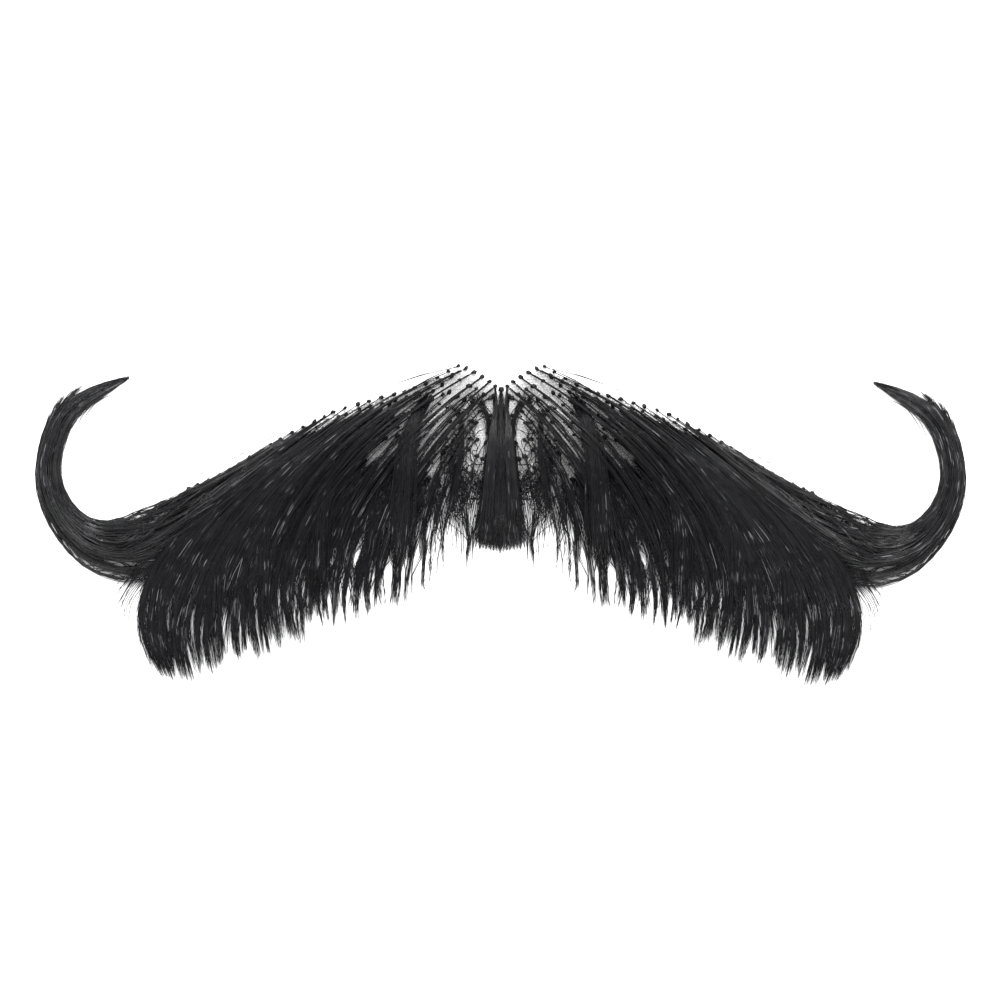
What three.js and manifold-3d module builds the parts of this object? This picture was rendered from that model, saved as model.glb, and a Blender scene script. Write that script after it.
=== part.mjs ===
// A hand-tied false moustache with curled ends, lying face up on a table.
// Hair is knotted in rows on a piece of fine lace, swept outwards from the middle,
// trimmed to a fringe below, and drawn together at each end into a long curl.
// Millimetres. +X along the moustache, +Y from the lip to the nose, +Z off the table.
// The origin is on the table under the middle of the overall size.
import * as THREE from "three";
import Module from "manifold-3d";
import { mergeVertices } from "three/addons/utils/BufferGeometryUtils.js";

// Overall size
const halfSpan = 74.2; // from the middle to the outside of a curl
const halfHeight = 25.5; // from mid height to the topmost knots, and to the lowest hair

// Lace
const laceThick = 1.0;
const pieceGap = 0.3; // between neighbouring pieces
const hairFloor = laceThick + pieceGap; // the lowest that hair can lie over the lace

// Hair of the two wings
const wingLoft = 4.2; // the hair's depth over the lace at its fullest
const fringeThick = 0.8; // the hair's depth at the trimmed ends
const lockCount = 14; // locks side by side in one wing
const lockOverlap = 1.25; // a lock's width as a share of the distance to the next
const lockThick = 2.2; // a lock's depth at its middle
const lockRise = 0.55; // how far a lock stands out of the hair under it

// Hair under the nose
const tuftRootWidth = 3.0;
const tuftEndWidth = 9.6;
const tuftLoft = 3.2;
const tuftLocks = 5;

// Curled ends
const curlWidth = 10.6; // across the hair where it leaves the lace
const curlThick = 4.6; // its depth there
const curlGroove = 0.12; // depth of the grooves between its strands, as a share of its radius
const curlStrands = 4;

// Lines that the wing's hair follows, from the middle outwards. Points are shares of the
// half span across and of the half height up. `full` is a share of the loft.
const wingLines = [
  { root: [0.04, 0.9], sweep: [0.06, 0.65], bend: [0.07, 0.27], tip: [0.07, -0.15], full: 0.5 },
  { root: [0.085, 0.98], sweep: [0.17, 0.79], bend: [0.18, 0.27], tip: [0.17, -0.24], full: 0.62 },
  { root: [0.155, 0.9], sweep: [0.275, 0.68], bend: [0.29, 0.14], tip: [0.275, -0.43], full: 0.85 },
  { root: [0.265, 0.8], sweep: [0.42, 0.52], bend: [0.43, -0.05], tip: [0.415, -0.62], full: 1 },
  { root: [0.395, 0.65], sweep: [0.555, 0.34], bend: [0.585, -0.21], tip: [0.545, -0.75], full: 1 },
  { root: [0.525, 0.44], sweep: [0.685, 0.09], bend: [0.74, -0.43], tip: [0.655, -0.92], full: 0.95 },
  { root: [0.65, 0.24], sweep: [0.775, -0.15], bend: [0.835, -0.49], tip: [0.75, -0.96], full: 0.8 },
];

// The hair's shape along its lines: `depth` is a share of the loft, `lace` how much of the
// lace's height is still under it, and `width` a lock's width as a share of its fullest.
const alongHair = [
  { at: 0, depth: 0.14, lace: 1, width: 0.35 },
  { at: 0.15, depth: 0.55, lace: 1, width: 0.8 },
  { at: 0.4, depth: 1, lace: 1, width: 1 },
  { at: 0.65, depth: 0.92, lace: 0.75, width: 1 },
  { at: 0.86, depth: 0.55, lace: 0.2, width: 0.85 },
  { at: 1, depth: 0.12, lace: 0, width: 0.08 },
];

// How far each lock of a wing reaches, as a share of its line
const lockReach = [0.98, 1, 0.97, 1.01, 0.98, 1.02, 0.98, 1, 0.99, 1.02, 0.98, 1.01, 1.045, 0.98];

// Locks that lie on top of the others and cross them: where they start and end across the
// wing and along its lines, as shares.
const overLocks = [
  { fromLine: 0.2, toLine: 0.27, start: 0.05, end: 0.9, width: 0.9 },
  { fromLine: 0.31, toLine: 0.42, start: 0.08, end: 0.88, width: 1.1 },
  { fromLine: 0.44, toLine: 0.52, start: 0.06, end: 0.93, width: 1.0 },
  { fromLine: 0.56, toLine: 0.66, start: 0.14, end: 0.9, width: 1.1 },
  { fromLine: 0.7, toLine: 0.79, start: 0.26, end: 0.92, width: 1.0 },
];

// A curl, from the top of the wing round to its waxed tip. `across` and `up` are shares of
// the half span and half height, `width` and `depth` of the curl's own, and `lace` is how
// much of the lace's height is under it.
const curlLine = [
  { across: 0.335, up: 0.63, width: 0.38, depth: 0.36, lace: 1 },
  { across: 0.44, up: 0.44, width: 0.58, depth: 0.74, lace: 1 },
  { across: 0.6, up: 0.14, width: 0.78, depth: 0.95, lace: 1 },
  { across: 0.685, up: -0.03, width: 0.92, depth: 1, lace: 0.85 },
  { across: 0.775, up: -0.15, width: 1, depth: 0.98, lace: 0.3 },
  { across: 0.83, up: -0.17, width: 0.86, depth: 0.9, lace: 0 },
  { across: 0.88, up: -0.13, width: 0.7, depth: 0.82, lace: 0 },
  { across: 0.92, up: -0.04, width: 0.56, depth: 0.76, lace: 0 },
  { across: 0.95, up: 0.08, width: 0.46, depth: 0.72, lace: 0 },
  { across: 0.97, up: 0.23, width: 0.4, depth: 0.7, lace: 0 },
  { across: 0.97, up: 0.4, width: 0.38, depth: 0.66, lace: 0 },
  { across: 0.955, up: 0.57, width: 0.38, depth: 0.6, lace: 0 },
  { across: 0.9, up: 0.75, width: 0.31, depth: 0.46, lace: 0 },
  { across: 0.84, up: 0.87, width: 0.15, depth: 0.26, lace: 0 },
  { across: 0.805, up: 0.91, width: 0.03, depth: 0.08, lace: 0 },
];

// The lace's outline on one side, from the notch under the nose round to the lip side
const laceOutline = [
  { across: 0, up: 0.85 },
  { across: 0.05, up: 0.94 },
  { across: 0.088, up: 1.0 },
  { across: 0.21, up: 0.87 },
  { across: 0.33, up: 0.74 },
  { across: 0.46, up: 0.56 },
  { across: 0.585, up: 0.36 },
  { across: 0.68, up: 0.21 },
  { across: 0.7, up: 0.14 },
  { across: 0.68, up: 0.09 },
  { across: 0.585, up: 0.08 },
  { across: 0.46, up: 0.16 },
  { across: 0.33, up: 0.24 },
  { across: 0.21, up: 0.26 },
  { across: 0.11, up: 0.23 },
  { across: 0, up: 0.2 },
];

// Fineness of the modelled surfaces
const matColumns = 16;
const matRows = 7;
const lockSections = 7;
const lockSides = 6;
const curlSections = 26;
const curlSides = 16;
const laceStepsPerPoint = 3;
const startSteps = 50;
const latestStart = 0.5;

const wasm = await Module();
wasm.setup();

// Solids

function solidFrom(points, triangles) {
  const geometry = new THREE.BufferGeometry();
  geometry.setAttribute("position", new THREE.Float32BufferAttribute(points.flat(), 3));
  geometry.setIndex(triangles);
  return solidOf(geometry);
}

function solidOf(geometry) {
  const bare = geometry.clone();
  bare.deleteAttribute("normal");
  bare.deleteAttribute("uv");
  const merged = mergeVertices(bare, 1e-4);
  const mesh = new wasm.Mesh({
    numProp: 3,
    vertProperties: merged.getAttribute("position").array,
    triVerts: new Uint32Array(merged.index.array),
  });
  return new wasm.Manifold(mesh);
}

function geometryOf(solid) {
  const mesh = solid.getMesh();
  const geometry = new THREE.BufferGeometry();
  geometry.setAttribute("position", new THREE.BufferAttribute(mesh.vertProperties, 3));
  geometry.setIndex(new THREE.BufferAttribute(mesh.triVerts, 1));
  geometry.computeVertexNormals();
  return geometry;
}

// Joins rings of points into one closed skin. Each ring runs the same way round.
function loft(rings) {
  const sides = rings[0].length;
  const points = rings.flat();
  const triangles = [];
  for (let row = 0; row < rings.length - 1; row++) {
    for (let side = 0; side < sides; side++) {
      const next = (side + 1) % sides;
      const a = row * sides + side;
      const b = row * sides + next;
      triangles.push(a, b, a + sides, b, b + sides, a + sides);
    }
  }
  const last = (rings.length - 1) * sides;
  for (let side = 1; side < sides - 1; side++) {
    triangles.push(0, side + 1, side, last, last + side, last + side + 1);
  }
  const solid = solidFrom(points, triangles);
  return solid.volume() < 0 ? solidFrom(points, triangles.reverse()) : solid;
}

// A rounded section standing across the line of the hair
function ringAt(place, direction, halfWidth, halfDepth, sides, radiusAt = () => 1) {
  const ring = [];
  for (let side = 0; side < sides; side++) {
    const angle = (2 * Math.PI * side) / sides - 0.5 * Math.PI;
    const reach = halfWidth * Math.cos(angle) * radiusAt(angle);
    const lift = halfDepth * Math.sin(angle) * radiusAt(angle);
    ring.push([place.x - direction.y * reach, place.y + direction.x * reach, place.z + lift]);
  }
  return ring;
}

// Tables read between their rows

function between(rows, share, read) {
  const values = rows.map((row) => new THREE.Vector3(read(row), 0, 0));
  return new THREE.CatmullRomCurve3(values, false, "centripetal").getPoint(share).x;
}

function hairAt(along, column) {
  const at = THREE.MathUtils.clamp(along, 0, 1);
  const last = alongHair.findIndex((row) => row.at >= at);
  const above = alongHair[Math.max(last, 1)];
  const below = alongHair[Math.max(last, 1) - 1];
  const share = THREE.MathUtils.smoothstep(at, below.at, above.at);
  return THREE.MathUtils.lerp(below[column], above[column], share);
}

function blend(rows, share) {
  const scaled = THREE.MathUtils.clamp(share, 0, 1) * (rows.length - 1);
  const index = Math.min(Math.floor(scaled), rows.length - 2);
  return { before: rows[index], after: rows[index + 1], part: scaled - index };
}

// The wing's hair

function wingLine(share) {
  const { before, after, part } = blend(wingLines, share);
  const corner = (name) =>
    new THREE.Vector2(
      THREE.MathUtils.lerp(before[name][0], after[name][0], part) * halfSpan,
      THREE.MathUtils.lerp(before[name][1], after[name][1], part) * halfHeight,
    );
  return {
    curve: new THREE.CubicBezierCurve(corner("root"), corner("sweep"), corner("bend"), corner("tip")),
    full: THREE.MathUtils.lerp(before.full, after.full, part),
  };
}

// Where on its line the wing's hair starts: at the lace's edge, or on the middle of the
// curl, whose hair covers the roots of the outer lines
function wingStart(share) {
  const { curve } = wingLine(share);
  const middle = curlCentre().getPoints(curlSections);
  for (let step = 0; step <= startSteps; step++) {
    const along = (step / startSteps) * latestStart;
    const point = curve.getPoint(along);
    const next = middle.findIndex((place) => place.x >= point.x);
    if (next < 1) return along;
    const part = (point.x - middle[next - 1].x) / (middle[next].x - middle[next - 1].x);
    if (point.y <= THREE.MathUtils.lerp(middle[next - 1].y, middle[next].y, part)) return along;
  }
  return latestStart;
}

function wingPoint(share, along) {
  const { curve } = wingLine(share);
  if (along <= 1) return curve.getPoint(along);
  const end = curve.getPoint(1);
  return end.addScaledVector(curve.getTangent(1), (along - 1) * curve.getLength());
}

function wingTop(share, along) {
  const { full } = wingLine(share);
  const overLace = hairFloor * hairAt(along, "lace");
  const depth = wingLoft * full * hairAt(along, "depth");
  return overLace + Math.max(depth, fringeThick);
}

function wingMat() {
  const matEnd = 0.9; // the bed of hair ends short of the locks' ends
  const rings = [];
  for (let column = 0; column <= matColumns; column++) {
    const share = column / matColumns;
    const from = wingStart(share);
    const top = [];
    const bottom = [];
    for (let row = 0; row <= matRows; row++) {
      const along = THREE.MathUtils.lerp(from, matEnd, row / matRows);
      const point = wingPoint(share, along);
      top.push([point.x, point.y, wingTop(share, along)]);
      bottom.unshift([point.x, point.y, 0]);
    }
    rings.push([...top, ...bottom]);
  }
  return loft(rings);
}

// A lock lies along the wing from one line of hair to another
function wingLock({ fromLine, toLine, start, end, width, rise }) {
  const rings = [];
  for (let section = 0; section <= lockSections; section++) {
    const part = section / lockSections;
    const line = THREE.MathUtils.lerp(fromLine, toLine, part);
    const along = THREE.MathUtils.lerp(start, end, part);
    const step = 0.01;
    const here = wingPoint(line, along);
    const ahead = wingPoint(line + (toLine - fromLine) * step, along + step);
    const direction = ahead.sub(here).normalize();
    const taper = hairAt(part, "width");
    const spacing = wingPoint(line - 0.5 / lockCount, along).distanceTo(wingPoint(line + 0.5 / lockCount, along));
    const halfWidth = 0.5 * spacing * lockOverlap * width * taper;
    const halfDepth = 0.5 * Math.max(lockThick * taper, fringeThick);
    const stand = rise * Math.sin(Math.PI * part);
    const height = Math.max(wingTop(line, along) - halfDepth + stand, halfDepth);
    rings.push(ringAt({ x: here.x, y: here.y, z: height }, direction, halfWidth, halfDepth, lockSides));
  }
  return loft(rings);
}

function wingHair() {
  let hair = wingMat();
  for (let lock = 0; lock < lockCount; lock++) {
    const line = (lock + 0.5) / lockCount;
    const start = wingStart(line);
    const end = lockReach[lock % lockReach.length];
    hair = hair.add(wingLock({ fromLine: line, toLine: line, start, end, width: 1, rise: lockRise }));
  }
  for (const lock of overLocks) hair = hair.add(wingLock({ ...lock, rise: 2 * lockRise }));
  return hair;
}

// The hair under the nose: locks side by side that spread towards the lip

function centreTuft() {
  let hair = null;
  const top = wingLines[0].root[1] * halfHeight - tuftRootWidth * 0.5;
  const bottom = wingLines[0].tip[1] * halfHeight;
  for (let lock = 0; lock < tuftLocks; lock++) {
    const side = (2 * lock) / (tuftLocks - 1) - 1;
    const rings = [];
    for (let section = 0; section <= lockSections; section++) {
      const part = section / lockSections;
      const spread = THREE.MathUtils.lerp(tuftRootWidth, tuftEndWidth, Math.sqrt(part)) / tuftLocks;
      const x = side * spread * (tuftLocks - 1) * 0.5;
      const y = THREE.MathUtils.lerp(top - Math.abs(side) * 0.2 * spread, bottom, part);
      const taper = Math.max(hairAt(part, "width"), 0.2);
      const halfDepth = 0.5 * Math.max(tuftLoft * hairAt(part, "depth"), fringeThick);
      const height = hairFloor * hairAt(part, "lace") + halfDepth;
      const middle = { x, y, z: height };
      rings.push(ringAt(middle, new THREE.Vector2(0, -1), 0.5 * spread * 1.5 * taper, halfDepth, lockSides));
    }
    const solid = loft(rings);
    hair = hair ? hair.add(solid) : solid;
  }
  return hair;
}

function curlCentre() {
  const at = (row) => new THREE.Vector3(row.across * halfSpan, row.up * halfHeight, 0);
  return new THREE.CatmullRomCurve3(curlLine.map(at), false, "centripetal");
}

// A curl, made larger all round by `grow` where it clears a way for itself

function curl(grow = 0) {
  const line = curlCentre();
  const rings = [];
  for (let section = 0; section <= curlSections; section++) {
    const part = section / curlSections;
    const place = line.getPoint(part);
    const tangent = line.getTangent(part);
    const direction = new THREE.Vector2(tangent.x, tangent.y).normalize();
    if (section === 0) place.addScaledVector(tangent, -grow);
    if (section === curlSections) place.addScaledVector(tangent, grow);
    const halfWidth = 0.5 * curlWidth * between(curlLine, part, (row) => row.width) + grow;
    const halfDepth = 0.5 * curlThick * between(curlLine, part, (row) => row.depth);
    const overLace = hairFloor * between(curlLine, part, (row) => row.lace);
    place.z = overLace + halfDepth;
    const grooves = (angle) => 1 - curlGroove * Math.sin(curlStrands * angle + 2 * Math.PI * part) ** 2;
    rings.push(ringAt(place, direction, halfWidth, halfDepth + grow, curlSides, grooves));
  }
  return loft(rings);
}

// The lace

function laceEdge(grow) {
  const side = laceOutline.map(({ across, up }) => new THREE.Vector3(across * halfSpan, up * halfHeight, 0));
  const line = new THREE.CatmullRomCurve3(side, false, "centripetal");
  const steps = laceStepsPerPoint * (laceOutline.length - 1);
  const right = [];
  for (let step = 0; step <= steps; step++) {
    const point = line.getPoint(step / steps);
    const tangent = line.getTangent(step / steps);
    const x = step === 0 || step === steps ? 0 : point.x - tangent.y * grow;
    right.push(new THREE.Vector2(x, point.y + tangent.x * grow));
  }
  const left = right.slice(1, -1).reverse().map((point) => new THREE.Vector2(-point.x, point.y));
  return [...right, ...left];
}

function laceSlab(grow, height) {
  const shape = new THREE.Shape(laceEdge(grow));
  return solidOf(new THREE.ExtrudeGeometry(shape, { depth: height, bevelEnabled: false }));
}

// Trims hair to the table and to the room over the lace. Slivers that the cuts set loose
// at its edges fall away.

function trimmed(hair) {
  const below = new THREE.BoxGeometry(4 * halfSpan, 8 * halfHeight, 2 * halfHeight);
  below.translate(0, 0, -halfHeight);
  const cut = hair.subtract(solidOf(below)).subtract(laceSlab(pieceGap, hairFloor));
  return cut.decompose().reduce((most, body) => (body.volume() > most.volume() ? body : most));
}

// The moustache

const black = new THREE.MeshStandardMaterial({ color: 0x17171a, roughness: 0.45, metalness: 0 });
const netGrey = new THREE.MeshStandardMaterial({ color: 0xb9b7b4, roughness: 0.9, metalness: 0 });

function piece(name, geometry, material) {
  const mesh = new THREE.Mesh(geometry, material);
  mesh.name = name;
  return mesh;
}

function mirrored(mesh, name) {
  const other = piece(name, mesh.geometry, mesh.material);
  other.scale.x = -1;
  return other;
}

const wing = geometryOf(trimmed(wingHair().subtract(curl(pieceGap))));
const curledEnd = geometryOf(trimmed(curl()));
const tuft = geometryOf(trimmed(centreTuft()));
const lace = geometryOf(laceSlab(0, laceThick));

const rightWing = piece("right_wing", wing, black);
const rightCurl = piece("right_curl", curledEnd, black);

const moustache = new THREE.Group();
moustache.add(piece("lace_base", lace, netGrey));
moustache.add(piece("centre_tuft", tuft, black));
moustache.add(rightWing, mirrored(rightWing, "left_wing"));
moustache.add(rightCurl, mirrored(rightCurl, "left_curl"));

export default moustache;
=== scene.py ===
# A hand-tied black moustache with curled ends, lying face up on a pale table.
import math

import bpy
import numpy as np
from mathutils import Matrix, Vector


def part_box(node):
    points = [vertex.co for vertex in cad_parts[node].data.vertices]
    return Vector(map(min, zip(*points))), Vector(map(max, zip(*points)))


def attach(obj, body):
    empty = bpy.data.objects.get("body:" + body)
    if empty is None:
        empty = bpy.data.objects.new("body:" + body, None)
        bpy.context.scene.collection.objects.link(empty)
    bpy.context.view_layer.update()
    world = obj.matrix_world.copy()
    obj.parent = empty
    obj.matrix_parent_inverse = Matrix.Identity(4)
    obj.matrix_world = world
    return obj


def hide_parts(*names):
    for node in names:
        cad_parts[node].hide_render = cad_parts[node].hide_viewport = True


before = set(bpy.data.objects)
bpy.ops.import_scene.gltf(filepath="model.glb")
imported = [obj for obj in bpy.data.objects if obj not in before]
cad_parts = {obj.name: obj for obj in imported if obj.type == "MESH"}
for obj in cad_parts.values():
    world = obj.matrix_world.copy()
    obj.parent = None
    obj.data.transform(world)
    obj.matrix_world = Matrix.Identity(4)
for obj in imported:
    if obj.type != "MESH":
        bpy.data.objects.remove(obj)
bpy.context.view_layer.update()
MM = 0.001

# The view is straight down, as from a copy stand. The lens is long, so that the hair isn't
# spread by perspective, and the stand is turned by less than half a degree.
view_width = 160 * MM
lens_length = 150
sensor_width = 36
stand_turn = math.radians(0.4)
view_middle = (-0.08 * MM, 3.8 * MM)
hair_height = 3 * MM

bpy.ops.object.camera_add(
    location=(*view_middle, hair_height + view_width * lens_length / sensor_width),
    rotation=(0, 0, stand_turn),
)
camera = bpy.context.object
camera.name = "copy_stand_camera"
camera.data.lens = lens_length
camera.data.sensor_width = sensor_width
camera.data.clip_start = 10 * MM
bpy.context.scene.camera = camera

# The table is a plain white sheet, far larger than the view, a hair's breadth under the
# plane that the moustache lies on. The room is as bright as a
# light tent, and two soft boxes stand on the nose side and the lip side, so that hair that
# lies across the view shines more than hair that points to them.
table_size = 3.0
table_top = -0.02 * MM
table_white = (0.9, 0.9, 0.9, 1)
tent_light = 1.3

bpy.ops.mesh.primitive_plane_add(size=table_size, location=(0, 0, table_top))
table = bpy.context.object
table.name = "table"
bpy.ops.object.transform_apply()
sheet_of_white = bpy.data.materials.new("white table")
sheet_of_white.use_nodes = True
shader = sheet_of_white.node_tree.nodes["Principled BSDF"]
shader.inputs["Base Color"].default_value = table_white
shader.inputs["Roughness"].default_value = 0.9
shader.inputs["Specular IOR Level"].default_value = 0.1
table.data.materials.append(sheet_of_white)


def soft_box(name, place, size, power):
    bpy.ops.object.light_add(type="AREA", location=place)
    lamp = bpy.context.object
    lamp.name = name
    lamp.data.shape = "SQUARE"
    lamp.data.size = size
    lamp.data.energy = power
    lamp.rotation_euler = (-lamp.location).to_track_quat("-Z", "Y").to_euler()


soft_box("soft_box_on_the_nose_side", place=(0.1, 0.6, 0.8), size=0.5, power=22)
soft_box("soft_box_on_the_lip_side", place=(-0.15, -0.65, 0.7), size=0.35, power=7)

tent = bpy.data.worlds.new("light tent")
tent.use_nodes = True
tent.node_tree.nodes["Background"].inputs["Color"].default_value = (1, 1, 1, 1)
tent.node_tree.nodes["Background"].inputs["Strength"].default_value = tent_light
bpy.context.scene.world = tent
bpy.context.scene.view_settings.view_transform = "Standard"

# The lace is one piece of hexagonal net, cut close inside the outline of the hair's roots.
# It is fine pale nylon, and lies on the table in slight waves with the hair knotted to it.
# The outline's points are shares of the half span and half height, across and up.
lace_outline = np.array(
    [
        (0, 0.85),
        (0.05, 0.94),
        (0.088, 1.0),
        (0.21, 0.87),
        (0.33, 0.74),
        (0.46, 0.56),
        (0.585, 0.36),
        (0.68, 0.21),
        (0.7, 0.14),
        (0.68, 0.09),
        (0.585, 0.08),
        (0.46, 0.16),
        (0.33, 0.24),
        (0.21, 0.26),
        (0.11, 0.23),
        (0, 0.2),
    ]
)
lace_low, lace_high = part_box("lace_base")
half_span = lace_high.x / MM / lace_outline[:, 0].max()
half_height = lace_high.y / MM
lace_trim = 0.9
trim_directions = 6
mesh_pitch = 0.5
same_joint = 0.1 * mesh_pitch
thread = 0.2
lace_middle = 0.45
lace_wave = 0.22
wave_length = 17.0
thread_wander = 0.04

rng = np.random.default_rng(4)


def lace_level(x, y):
    """Height of the net over the table, in mm."""
    across = np.sin(2 * np.pi * x / wave_length)
    return lace_middle + lace_wave * across * np.cos(2 * np.pi * y / wave_length)


def on_lace(x, y):
    """Whether a place in mm is inside the outline."""
    edge = lace_outline * (half_span, half_height)
    inside = False
    for (x1, y1), (x2, y2) in zip(edge, np.roll(edge, -1, axis=0)):
        if (y1 > y) != (y2 > y) and abs(x) < x1 + (y - y1) / (y2 - y1) * (x2 - x1):
            inside = not inside
    return inside


def within_cut(x, y):
    """Whether a place in mm is inside the outline by the width that was trimmed."""
    around = np.linspace(0, 2 * np.pi, trim_directions, endpoint=False)
    return all(on_lace(x + lace_trim * math.cos(a), y + lace_trim * math.sin(a)) for a in around)


cell = mesh_pitch / math.sqrt(3)
columns = math.ceil(2 * lace_high.x / MM / mesh_pitch) + 1
row_pairs = math.ceil((lace_high.y - lace_low.y) / MM / (3 * cell)) + 1
bpy.ops.object.select_all(action="DESELECT")
bpy.ops.mesh.primitive_circle_add(
    vertices=6, radius=cell * MM, fill_type="NGON", location=(-lace_high.x, lace_low.y, 0)
)
lace = bpy.context.object
lace.name = "lace_net"
bpy.ops.object.transform_apply()
bpy.ops.object.mode_set(mode="EDIT")
next_row = (mesh_pitch * MM / 2, 1.5 * cell * MM, 0)
bpy.ops.mesh.duplicate_move(TRANSFORM_OT_translate={"value": next_row})
bpy.ops.object.mode_set(mode="OBJECT")
for axis, count, distance in ((0, columns, mesh_pitch), (1, row_pairs, 3 * cell)):
    repeat = lace.modifiers.new("cells", "ARRAY")
    repeat.use_relative_offset = False
    repeat.use_constant_offset = True
    repeat.constant_offset_displace = [distance * MM if i == axis else 0 for i in range(3)]
    repeat.count = count
    bpy.ops.object.modifier_apply(modifier=repeat.name)
bpy.ops.object.mode_set(mode="EDIT")
bpy.ops.mesh.select_all(action="SELECT")
bpy.ops.mesh.remove_doubles(threshold=same_joint * MM)
bpy.ops.mesh.select_all(action="DESELECT")
bpy.ops.mesh.select_mode(type="FACE")
bpy.ops.object.mode_set(mode="OBJECT")
for hexagon in lace.data.polygons:
    hexagon.select = not within_cut(hexagon.center.x / MM, hexagon.center.y / MM)
bpy.ops.object.mode_set(mode="EDIT")
bpy.ops.mesh.delete(type="FACE")
bpy.ops.object.mode_set(mode="OBJECT")
for joint in lace.data.vertices:
    joint.co.x += rng.normal(0, thread_wander) * MM
    joint.co.y += rng.normal(0, thread_wander) * MM
    joint.co.z = lace_level(joint.co.x / MM, joint.co.y / MM) * MM
threads = lace.modifiers.new("threads", "WIREFRAME")
threads.thickness = thread * MM
threads.use_boundary = True
bpy.ops.object.modifier_apply(modifier=threads.name)
bpy.ops.object.shade_smooth()

nylon = bpy.data.materials.new("pale nylon net")
nylon.use_nodes = True
nodes = nylon.node_tree.nodes
shader = nodes["Principled BSDF"]
place = nodes.new("ShaderNodeTexCoord")
soil = nodes.new("ShaderNodeTexNoise")
soil.inputs["Scale"].default_value = 0.4 / MM
shade = nodes.new("ShaderNodeValToRGB")
shade.color_ramp.elements[0].position = 0.35
shade.color_ramp.elements[0].color = (0.34, 0.335, 0.34, 1)
shade.color_ramp.elements[1].position = 0.65
shade.color_ramp.elements[1].color = (0.46, 0.45, 0.45, 1)
nylon.node_tree.links.new(place.outputs["Object"], soil.inputs["Vector"])
nylon.node_tree.links.new(soil.outputs["Fac"], shade.inputs["Fac"])
nylon.node_tree.links.new(shade.outputs["Color"], shader.inputs["Base Color"])
shader.inputs["Roughness"].default_value = 0.6
lace.data.materials.append(nylon)

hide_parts("lace_base")
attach(lace, "root")

# All the hair is real hair, dyed black, each one a tapered thread of its own. A hair is a
# closed tube of three sides, and a piece of hair is thousands of them joined in one mesh.
# Its material gives each hair its own black, short glints of painted highlight, and a sheen that comes
# and goes.
# Past 0.8 the ramp is no longer black: its light end is painted highlight, for the glints.
hair_blacks_and_painted_glints = [
    (0, (0.003, 0.003, 0.0035)),
    (0.8, (0.0065, 0.0065, 0.0075)),
    (1, (0.12, 0.116, 0.122)),
]
# A hair's tint, its noise along the hair and a rise to the tip pick its black. Where the sum runs high,
# the colour is a painted glint, most often near the tip.
tint_range = 0.68
tint_and_glint_noise = 0.17
painted_tip_glint = 0.2
map_margin = 0.12
map_gap = 0.05
cap_gap = 0.01


def hair_material(name, roughness, shine, coat):
    """Black hair of a mean roughness. shine is its specular level, and coat its wax."""
    made = bpy.data.materials.new(name)
    made.use_nodes = True
    nodes, links = made.node_tree.nodes, made.node_tree.links
    shader = nodes["Principled BSDF"]
    tint_and_painted_glint = nodes.new("ShaderNodeAttribute")
    tint_and_painted_glint.attribute_name = "tint_and_painted_glint"
    blacks_and_painted_glints = nodes.new("ShaderNodeValToRGB")
    blacks_and_painted_glints.color_ramp.elements.new(hair_blacks_and_painted_glints[1][0])
    for element, (position, colour) in zip(blacks_and_painted_glints.color_ramp.elements, hair_blacks_and_painted_glints):
        element.position = position
        element.color = (*colour, 1)
    # A noise along the hair breaks the painted glints into short pieces.
    place = nodes.new("ShaderNodeTexCoord")
    breaks = nodes.new("ShaderNodeTexNoise")
    breaks.inputs["Scale"].default_value = 0.4 / MM
    breaks.inputs["Detail"].default_value = 1
    lit_part = nodes.new("ShaderNodeMapRange")
    lit_part.inputs["From Min"].default_value = 0.42
    lit_part.inputs["From Max"].default_value = 0.58
    lit_part.inputs["To Min"].default_value = 0.8
    lit_part.inputs["To Max"].default_value = 1.12
    glint = nodes.new("ShaderNodeMath")
    glint.operation = "MULTIPLY"
    links.new(place.outputs["Object"], breaks.inputs["Vector"])
    links.new(breaks.outputs["Fac"], lit_part.inputs["Value"])
    links.new(tint_and_painted_glint.outputs["Fac"], glint.inputs[0])
    links.new(lit_part.outputs["Result"], glint.inputs[1])
    links.new(glint.outputs["Value"], blacks_and_painted_glints.inputs["Fac"])
    links.new(blacks_and_painted_glints.outputs["Color"], shader.inputs["Base Color"])
    wax = nodes.new("ShaderNodeTexNoise")
    wax.inputs["Scale"].default_value = 0.5 / MM
    wax.inputs["Detail"].default_value = 3
    polish = nodes.new("ShaderNodeMapRange")
    polish.inputs["From Min"].default_value = 0.3
    polish.inputs["From Max"].default_value = 0.7
    polish.inputs["To Min"].default_value = roughness - 0.1
    polish.inputs["To Max"].default_value = roughness + 0.15
    links.new(place.outputs["Object"], wax.inputs["Vector"])
    links.new(wax.outputs["Fac"], polish.inputs["Value"])
    links.new(polish.outputs["Result"], shader.inputs["Roughness"])
    shader.inputs["Specular IOR Level"].default_value = shine
    shader.inputs["Coat Weight"].default_value = coat
    shader.inputs["Coat Roughness"].default_value = 0.3
    return made


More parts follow.
